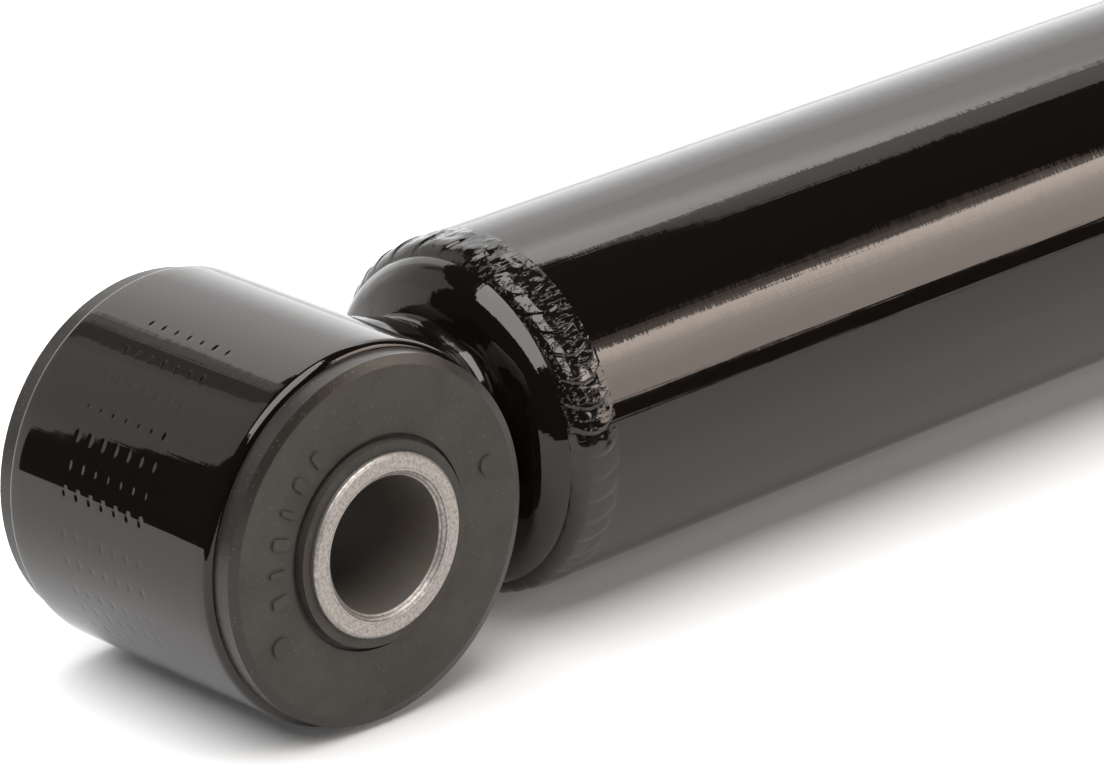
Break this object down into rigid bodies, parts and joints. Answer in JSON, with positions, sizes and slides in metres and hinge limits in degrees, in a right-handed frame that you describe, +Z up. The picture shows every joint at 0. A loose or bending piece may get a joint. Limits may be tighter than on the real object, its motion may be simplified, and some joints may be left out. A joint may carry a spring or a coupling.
{
  "type": "telescopic shock absorber",
  "caption": "Twin-tube hydraulic shock absorber with a rubber-bushed eye at each end, a welded reservoir, a dust cover and a chromed rod with piston and valves.",
  "frame": {"origin": "centre of the lower eye's bolt bore, at the middle of its sleeve", "axes": "+X along the absorber from the lower eye to the upper one, +Y along both bolts, +Z up"},
  "size_m": [0.5843, 0.062, 0.062],
  "materials": {
    "black_paint": "gloss black paint over rolled steel",
    "bush_rubber": "matt moulded charcoal rubber",
    "sleeve_steel": "turned bare steel",
    "rod_chrome": "hard chrome, polished",
    "drawn_steel": "cold-drawn oiled steel",
    "sintered_iron": "steam-treated sintered iron",
    "guide_aluminium": "turned aluminium",
    "spring_steel": "hardened blued strip",
    "zinc_steel": "zinc-plated steel",
    "bronze": "lined bronze",
    "seal_rubber": "nitrile rubber",
    "band_plastic": "filled low-friction plastic"
  },
  "bodies": {
    "reservoir": {"lower_eye_ring": "black_paint", "lower_bush_rubber": "bush_rubber", "lower_neck_welds": "black_paint", "bottom_cap": "black_paint", "bottom_cap_seam": "black_paint", "reservoir_tube": "black_paint", "pressure_tube": "drawn_steel", "base_valve_body": "sintered_iron", "compression_shims": "spring_steel", "base_valve_pin": "zinc_steel", "base_valve_spring_seat": "zinc_steel", "intake_star_spring": "spring_steel", "rod_guide": "guide_aluminium", "guide_bush": "bronze", "guide_o_ring": "seal_rubber", "rod_seal": "seal_rubber", "seal_garter_spring": "spring_steel", "closing_plate": "drawn_steel", "rod_wiper": "seal_rubber"},
    "lower_bolt_sleeve": {"lower_sleeve": "sleeve_steel"},
    "intake_valve": {"intake_check_disc": "spring_steel"},
    "piston_ring": {"piston_band": "band_plastic"},
    "rod": {"piston_rod": "rod_chrome", "piston_body": "sintered_iron", "piston_spring_seat": "zinc_steel", "piston_star_spring": "spring_steel", "piston_nut": "zinc_steel", "rebound_spring": "spring_steel", "rebound_stop_ring": "drawn_steel", "rebound_buffer": "seal_rubber", "cover_dish": "black_paint", "dust_cover": "black_paint", "cover_seam": "black_paint", "rod_weld": "drawn_steel", "upper_neck_welds": "black_paint", "upper_eye_ring": "black_paint", "upper_bush_rubber": "bush_rubber"},
    "piston_check": {"piston_check_disc": "spring_steel"},
    "rebound_valve": {"rebound_shims": "spring_steel", "rebound_spring_cup": "zinc_steel"},
    "upper_bolt_sleeve": {"upper_sleeve": "sleeve_steel"}
  },
  "joints": [
    {"name": "lower_sleeve_twist", "type": "hinge", "parent": "reservoir", "child": "lower_bolt_sleeve", "pos_m": [0, 0, 0], "axis": [0, 1, 0], "range_deg": [-20, 20], "stiffness_Nm_per_rad": 60},
    {"name": "intake_disc_lift", "type": "slide", "parent": "reservoir", "child": "intake_valve", "axis": [1, 0, 0], "range_m": [0, 0.0012], "stiffness_N_per_m": 300, "springref_m": -0.003, "deforming": ["intake_star_spring"]},
    {"name": "rod_slide", "type": "slide", "parent": "reservoir", "child": "piston_ring", "axis": [1, 0, 0], "range_m": [-0.175, 0]},
    {"name": "rod_turn", "type": "hinge", "parent": "piston_ring", "child": "rod", "pos_m": [0, 0, 0], "axis": [1, 0, 0], "continuous": true},
    {"name": "piston_check_lift", "type": "slide", "parent": "rod", "child": "piston_check", "axis": [1, 0, 0], "range_m": [0, 0.0012], "stiffness_N_per_m": 300, "springref_m": -0.003, "deforming": ["piston_star_spring"]},
    {"name": "rebound_valve_lift", "type": "slide", "parent": "rod", "child": "rebound_valve", "axis": [-1, 0, 0], "range_m": [0, 0.0008], "stiffness_N_per_m": 20000, "springref_m": -0.004, "deforming": ["rebound_spring"]},
    {"name": "upper_sleeve_twist", "type": "hinge", "parent": "rod", "child": "upper_bolt_sleeve", "pos_m": [0.52826, 0, 0], "axis": [0, 1, 0], "range_deg": [-20, 20], "stiffness_Nm_per_rad": 60}
  ]
}
